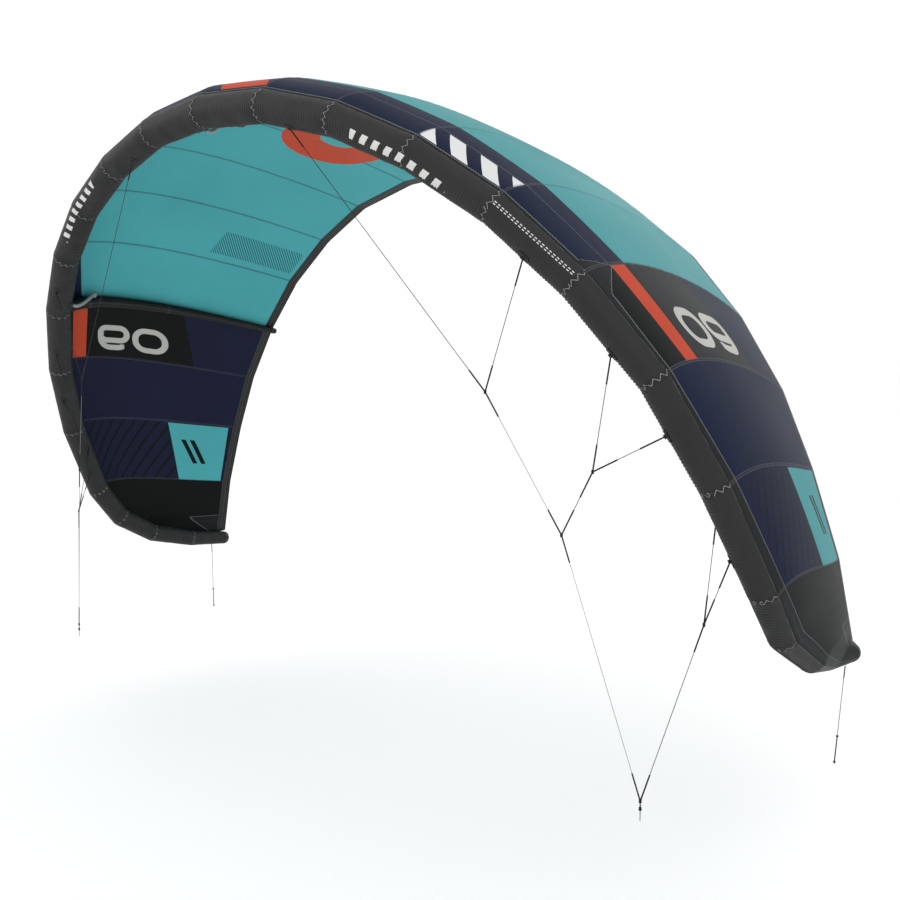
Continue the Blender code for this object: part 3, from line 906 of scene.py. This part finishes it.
def makeStrut(name, station, side, material, node, room=0.0, begin=0.0):
    path = strutPath(station)
    way = tubeWay(station)

    def frameAt(share):
        centre, size = curvePoint(path, share)
        before, after = curvePoint(path, max(share - 0.01, 0))[0], curvePoint(path, min(share + 0.01, 1))[0]
        ahead = (after - before).normalized()
        across = (way - ahead * way.dot(ahead)).normalized()
        return centre, size, ahead, across, ahead.cross(across)

    def place(u, v):
        centre, size, ahead, across, up = frameAt(min((begin + (1 - begin) * u) / 0.93, 1))
        size -= room
        angle = 2 * math.pi * v
        if u > 0.93:
            end = (u - 0.93) / 0.07
            centre = centre + ahead * math.sin(end * math.pi / 2) * (strutSize["over"] - room)
            size = size * max(math.cos(end * math.pi / 2), 0.004)
        else:
            size += noise.noise(Vector((u * 20, math.cos(angle) * 1.5, math.sin(angle) * 1.5))) * 0.0005
            size += 0.0008 * math.exp(-(((u / 0.31) % 1.0 - 0.5) / 0.02) ** 2)
        return flip(centre + (across * math.cos(angle) + up * math.sin(angle)) * size, side)

    def reading(u, v):
        return (u, v), (u * 1.5, v * 0.15)

    form = sheetForm(strutSize["along"], strutSize["around"], place, reading, True)
    bmesh.ops.holes_fill(form, edges=[edge for edge in form.edges if edge.is_boundary])
    bmesh.ops.recalc_face_normals(form, faces=form.faces)
    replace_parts(addPiece(name, form, material), node)


for tag, station, side in (("middle", 0, 1), ("right", strutSize["station"], 1),
                           ("left", strutSize["station"], -1)):
    makeStrut("strut" + tag.capitalize(), station, side, strutCloth, f"strut_{tag}")
    makeStrut("strutBladder" + tag.capitalize(), station, side, film,
              f"strut_bladder_{tag}", strutSize["bladderRoom"], strutSize["bladderBegin"])
print("struts made")


# bridle
bridle = {
    "nodes": {
        "n1": Vector((1.353, 0.186, -1.109)), "n2": Vector((1.699, 0.340, -1.374)),
        "n3": Vector((1.603, 0.297, -1.594)), "n4": Vector((2.027, 0.521, -1.875)),
        "n5": Vector((1.860, 0.411, -2.492)),
    },
    "tabs": {
        "a1": (1, 0.46, (-0.012, -0.024, -0.060)), "a2": (4, 0.52, (-0.025, -0.048, -0.034)),
        "a3": (5, 0.63, (-0.032, -0.039, -0.037)), "a4": (6, 0.44, (-0.032, -0.036, -0.035)),
        "a5": (7, 0.28, (-0.052, 0.022, -0.016)), "a6": (7, 0.64, (-0.042, -0.020, -0.030)),
    },
    "lines": [("a1", "n1", "dark"), ("a2", "n1", "dark"), ("a3", "n2", "dark"), ("a4", "n2", "dark"),
              ("n1", "n3", "light"), ("n2", "n3", "dark"), ("a5", "n4", "dark"), ("a6", "n4", "dark"),
              ("n3", "n5", "light"), ("n4", "n5", "dark")],
    "diameter": 0.0026, "fine": 0.0020, "sleeve": 0.0056, "sleeveLength": 0.098, "standOff": 0.002,
    "steps": 8, "knot": 0.0052, "knotStep": 0.004,
}
ends = dict(bridle["nodes"])
tabWay = {}
for key, (lower, share, hint) in bridle["tabs"].items():
    centre = axis[lower].lerp(axis[lower + 1], share)
    size = tubeSize[lower] * (1 - share) + tubeSize[lower + 1] * share
    along = (axis[lower + 1] - axis[lower]).normalized()
    out = Vector(hint) - along * Vector(hint).dot(along)
    tabWay[key] = (out.normalized(), along, centre, size)
    ends[key] = centre + out.normalized() * (size + bridle["standOff"])


def straight(start, end, steps):
    # evenly spaced points from start to end
    return [start.lerp(end, step / steps) for step in range(steps + 1)]


def addCord(name, points, diameter, material, body="kite"):
    curve = bpy.data.curves.new(name, "CURVE")
    curve.dimensions = "3D"
    curve.bevel_depth = diameter / 2
    curve.bevel_resolution = 3
    curve.use_fill_caps = True
    curve.materials.append(material)
    spline = curve.splines.new("POLY")
    spline.points.add(len(points) - 1)
    for target, point in zip(spline.points, points):
        target.co = (*point, 1)
    piece = bpy.data.objects.new(name, curve)
    bpy.context.scene.collection.objects.link(piece)
    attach(piece, body)
    return piece


def ropeForm(path, diameter, sides=10):
    # a round rope along a list of points, with closed ends
    form = bmesh.new()
    way = (path[1] - path[0]).normalized()
    turn = way.to_track_quat("Z", "Y").to_matrix().to_4x4()
    bmesh.ops.create_circle(form, cap_ends=True, segments=sides, radius=diameter / 2,
                            matrix=Matrix.Translation(path[0]) @ turn)
    face = form.faces[:]
    for i in range(1, len(path)):
        grown = bmesh.ops.extrude_face_region(form, geom=face)["geom"]
        face = [item for item in grown if isinstance(item, bmesh.types.BMFace)]
        verts = [item for item in grown if isinstance(item, bmesh.types.BMVert)]
        bmesh.ops.translate(form, verts=verts, vec=path[i] - path[i - 1])
        if i < len(path) - 1:
            newWay = (path[i + 1] - path[i - 1]).normalized()
            swing = way.rotation_difference(newWay).to_matrix()
            bmesh.ops.rotate(form, verts=verts, cent=path[i], matrix=swing)
            way = newWay
    return form


def joinForms(target, source):
    mesh = bpy.data.meshes.new("part")
    source.to_mesh(mesh)
    source.free()
    target.from_mesh(mesh)
    bpy.data.meshes.remove(mesh)


for side, tag in ((1, "right"), (-1, "left")):
    spots = {key: flip(point, side) for key, point in ends.items()}
    for first, last, shade in bridle["lines"]:
        a, b = spots[first], spots[last]
        size = bridle["diameter"] if shade == "dark" else bridle["fine"]
        name = f"line{first.upper()}{last.upper()}{tag.capitalize()}"
        line = addCord(name, straight(a, b, bridle["steps"]), size,
                       darkLine if shade == "dark" else lightLine)
        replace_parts(line, f"bridle_{first}_{last}_{tag}")
    # braided sleeves over the ends of the lines, and the knots that they meet in
    for node in bridle["nodes"]:
        form = bmesh.new()
        centre = spots[node]
        for first, last, shade in bridle["lines"]:
            if node not in (first, last):
                continue
            other = spots[last if node == first else first]
            way = (other - centre).normalized()
            length = min(bridle["sleeveLength"], (other - centre).length * 0.4)
            joinForms(form, ropeForm(straight(centre, centre + way * length, 6), bridle["sleeve"]))
        for step in range(3):
            lump = bmesh.new()
            place = centre + Vector((0, 0, (step - 1) * bridle["knotStep"]))
            bmesh.ops.create_uvsphere(lump, u_segments=14, v_segments=9, radius=bridle["knot"],
                                      matrix=Matrix.Translation(place) @ Matrix.Rotation(step * 1.1, 4, "X"))
            bmesh.ops.scale(lump, verts=lump.verts, vec=(1, 1, 0.72), space=Matrix.Translation(-place))
            joinForms(form, lump)
        addPiece(f"knot{node.upper()}{tag.capitalize()}", form, sleeveBraid)
print("bridle made")


# sewn patches, tabs and the sleeves that start from them
fitting = {
    "patch": (0.046, 0.034), "valvePatch": (0.086, 0.086), "hosePatch": (0.060, 0.060), "thickness": 0.0009,
    "strap": (0.016, 0.0028, 0.014), "clip": (0.0108, 0.008), "hoseShift": 0.075, "hoseTurn": 38.0,
}


def tubeAngle(s, out):
    # the angle round the tube that faces a direction
    centre = tubeCentre(s)
    first = (tubePoint(s, 0) - centre).normalized()
    second = (tubePoint(s, math.pi / 2) - centre).normalized()
    return math.atan2(out.dot(second), out.dot(first))


def patchForm(s, angle, size):
    # a piece of cloth with round corners, laid on the tube
    halfTurn = size[1] / 2 / tubeSize[min(int(abs(s)), kite["tip"])]

    def place(u, v):
        x, y = u * 2 - 1, v * 2 - 1
        pinch = 1 - 0.06 * max(0, abs(x) - 0.7) * max(0, abs(y) - 0.7) / 0.09 * 2.5
        return tubePoint(s + x * pinch * size[0] / 2 / kite["panel"], angle + y * pinch * halfTurn,
                         fitting["thickness"] + 0.0008)

    return sheetForm(16, 16, place, lambda u, v: ((u, v), (u * size[0], v * size[1])))


def makePatchMaterial():
    board = Board("sewnPatch", 0.6, Specular_IOR_Level=0.25)
    u, v = board.uv("panel")
    along, across = board.uv("flat")
    side = (abs(u - 0.5) | abs(v - 0.5))
    wave = fold(along + across, 0.006) * 0.06
    cloud = board.noise(board.place(), 30.0, 4.0)
    board.colour = board.mix(cloud, tint("161617"), tint("202021"))
    zigzag = abs(side - 0.43 - wave + 0.015) < 0.012
    board.paint(zigzag * 0.35, tint("606264"))
    board.set("Base Color", board.colour)
    weave = fold(along, 0.0014) + fold(across, 0.0014)
    board.set("Roughness", 0.52 + cloud * 0.15)
    board.relief(weave * 0.3 + zigzag, 0.4, 0.0008)
    return board.material


patchSewn = makePatchMaterial()


def block(size, centre, axes, edge):
    # a small block with rounded edges, turned to its axes
    form = bmesh.new()
    bmesh.ops.create_cube(form, size=1)
    bmesh.ops.scale(form, verts=form.verts, vec=size)
    bmesh.ops.bevel(form, geom=form.verts[:] + form.edges[:], offset=edge, segments=3, affect="EDGES",
                    profile=0.5, material=-1)
    turn = Matrix(axes).transposed().to_4x4()
    bmesh.ops.transform(form, verts=form.verts, matrix=Matrix.Translation(centre) @ turn)
    return form


for side, tag in ((1, "right"), (-1, "left")):
    patches, straps, sleeves = bmesh.new(), bmesh.new(), bmesh.new()
    for key, (lower, share, hint) in bridle["tabs"].items():
        out, along, centre, size = tabWay[key]
        s = side * (lower + share)
        out, along, centre = flip(out, side), flip(along, side), flip(centre, side)
        joinForms(patches, patchForm(s, tubeAngle(s, out), fitting["patch"]))
        width, thick, height = fitting["strap"]
        seat = centre + out * (size + height / 2 - 0.004)
        joinForms(straps, block((width, thick, height), seat, (along, out.cross(along), out), 0.0011))
        start = flip(ends[key], side)
        other = next(flip(ends[last], side) for first, last, shade in bridle["lines"] if first == key)
        way = (other - start).normalized()
        path = straight(start, start + way * bridle["sleeveLength"], 6)
        joinForms(sleeves, ropeForm(path, bridle["sleeve"]))
    cloth = addPiece(f"tabPatches{tag.capitalize()}", patches, patchSewn)
    solidify(cloth, fitting["thickness"])
    addPiece(f"tabs{tag.capitalize()}", straps, webbing)
    addPiece(f"tabSleeves{tag.capitalize()}", sleeves, sleeveBraid)

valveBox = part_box("valve_base")
valveCentre = (valveBox[0] + valveBox[1]) / 2
valveOut = (valveCentre - tubeCentre(0.45)).normalized()
ports, clips = patchForm(0.45, tubeAngle(0.45, valveOut), fitting["valvePatch"]), bmesh.new()
for station, side in ((0, 1), (strutSize["station"], 1), (strutSize["station"], -1)):
    chord, across, up = stationAxes(station)
    turn = math.radians(fitting["hoseTurn"])
    near = axis[station - 1] if station else flip(axis[1], -1)
    along = (near - axis[station]).normalized()
    out = across * math.cos(turn) - up * math.sin(turn)
    out = flip((out - along * out.dot(along)).normalized(), side)
    reach = fitting["hoseShift"] / (near - axis[station]).length
    s = side * (station - reach)
    joinForms(ports, patchForm(s, tubeAngle(s, out), fitting["hosePatch"]))
    root = flip(axis[station] + along * fitting["hoseShift"], side) + out * (tubeSize[station] + 0.007)
    radius, height = fitting["clip"]
    ring = bmesh.new()
    bmesh.ops.create_cone(ring, cap_ends=True, segments=32, radius1=radius, radius2=radius, depth=height)
    bmesh.ops.bevel(ring, geom=[edge for edge in ring.edges if len(edge.link_faces) == 2
                                and edge.calc_face_angle() > 1], offset=0.001, segments=2, affect="EDGES",
                    profile=0.5, material=-1)
    turn = out.to_track_quat("Z", "Y").to_matrix().to_4x4()
    bmesh.ops.transform(ring, verts=ring.verts, matrix=Matrix.Translation(root) @ turn)
    joinForms(clips, ring)
solidify(addPiece("portPatches", ports, patchSewn), fitting["thickness"])
addPiece("hoseClips", clips, clipPlastic)
print("patches and tabs made")


# pigtails
tail = {"diameter": 0.0034, "front": 0.068, "rear": 0.40, "knotRoom": 0.010, "share": 0.65,
        "lean": Vector((-0.028, -0.012, -0.40)), "sleeve": 0.0048, "top": 0.05, "low": 0.115}


def bead(place, radius, squash=0.8):
    form = bmesh.new()
    bmesh.ops.create_uvsphere(form, u_segments=16, v_segments=10, radius=radius,
                              matrix=Matrix.Translation(place))
    bmesh.ops.scale(form, verts=form.verts, vec=(1, 1, squash), space=Matrix.Translation(-place))
    return form


def makePigtail(name, body, points, material, sleeves, beads):
    piece = addCord(name, points, tail["diameter"], material, body)
    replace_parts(piece, body)
    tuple(points[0])
    (points[-1] - points[0]).length
    form = bmesh.new()
    for start, end in sleeves:
        joinForms(form, ropeForm(straight(start, end, 5), tail["sleeve"]))
    for place in beads:
        joinForms(form, bead(place, 0.0056))
    addPiece(name + "Sleeve", form, sleeveBraid, body)


for side, tag in ((1, "right"), (-1, "left")):
    top = flip(ends["n5"], side)
    points = [top + Vector((0, 0, -tail["knotRoom"] - (tail["front"] - tail["knotRoom"]) * step / 6))
              for step in range(7)]
    makePigtail(f"pigtailFront{tag.capitalize()}", f"pigtail_front_{tag}", points, lightLine,
                [(points[0], points[2])], [points[2], points[2] + Vector((0, 0, 0.006))])
    start = axis[11].lerp(axis[12], tail["share"]) + Vector((0.010, 0, -tubeSize[12] * 1.07 - 0.002))
    start = flip(start, side)
    low = start + flip(tail["lean"], side)
    points = straight(start, low, 10)
    lowShare = 1 - tail["low"] / tail["rear"]
    makePigtail(f"pigtailRear{tag.capitalize()}", f"pigtail_rear_{tag}", points, lightLine,
                [(start, start.lerp(low, tail["top"] / tail["rear"])),
                 (start.lerp(low, lowShare), start.lerp(low, 0.985))],
                [start.lerp(low, lowShare), start.lerp(low, 0.975)])
print("pigtails made")


# pieces that keep their solids take their own materials
def repaint(node, material):
    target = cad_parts[node]
    target.data.materials.clear()
    target.data.materials.append(material)


for tag in ("middle", "right", "left"):
    repaint(f"fill_hose_{tag}", hoseRubber)
repaint("valve_base", valvePlastic)
repaint("valve_cap", clipPlastic)


# floor and light
floorSetup = {"height": cadBox[0].z - 0.35, "size": 600, "paint": (0.96, 0.96, 0.96, 1)}
floorForm = bmesh.new()
bmesh.ops.create_grid(floorForm, x_segments=1, y_segments=1, size=floorSetup["size"] / 2,
                      matrix=Matrix.Translation((0, 0, floorSetup["height"])))
floorMesh = bpy.data.meshes.new("floor")
floorForm.to_mesh(floorMesh)
floorForm.free()
floor = bpy.data.objects.new("floor", floorMesh)
bpy.context.scene.collection.objects.link(floor)
floorBoard = Board("floorPaint", 0.8)
floorBoard.set("Base Color", floorSetup["paint"])
floorMesh.materials.append(floorBoard.material)

world = bpy.data.worlds.new("studio")
bpy.context.scene.world = world
world.use_nodes = True
sky = world.node_tree.nodes["Background"]
sky.inputs["Color"].default_value = (1.0, 1.0, 1.0, 1)
sky.inputs["Strength"].default_value = 1.05

lights = {
    "key": {"place": (5.5, -4.5, 4.5), "aim": (0, 0.6, -0.8), "size": 5.0, "power": 150},
    "fill": {"place": (-5.5, -4.0, 1.5), "aim": (0, 0.6, -0.8), "size": 6.0, "power": 60},
    "back": {"place": (1.0, 6.5, 3.5), "aim": (0, 0.6, -0.8), "size": 5.0, "power": 60},
}
for name, setup in lights.items():
    lamp = bpy.data.lights.new(name, "AREA")
    lamp.size = setup["size"]
    lamp.energy = setup["power"]
    stand = bpy.data.objects.new(name, lamp)
    bpy.context.scene.collection.objects.link(stand)
    stand.location = setup["place"]
    way = Vector(setup["aim"]) - Vector(setup["place"])
    stand.rotation_mode = "QUATERNION"
    stand.rotation_quaternion = way.to_track_quat("-Z", "Y")
print("floor and light ready")
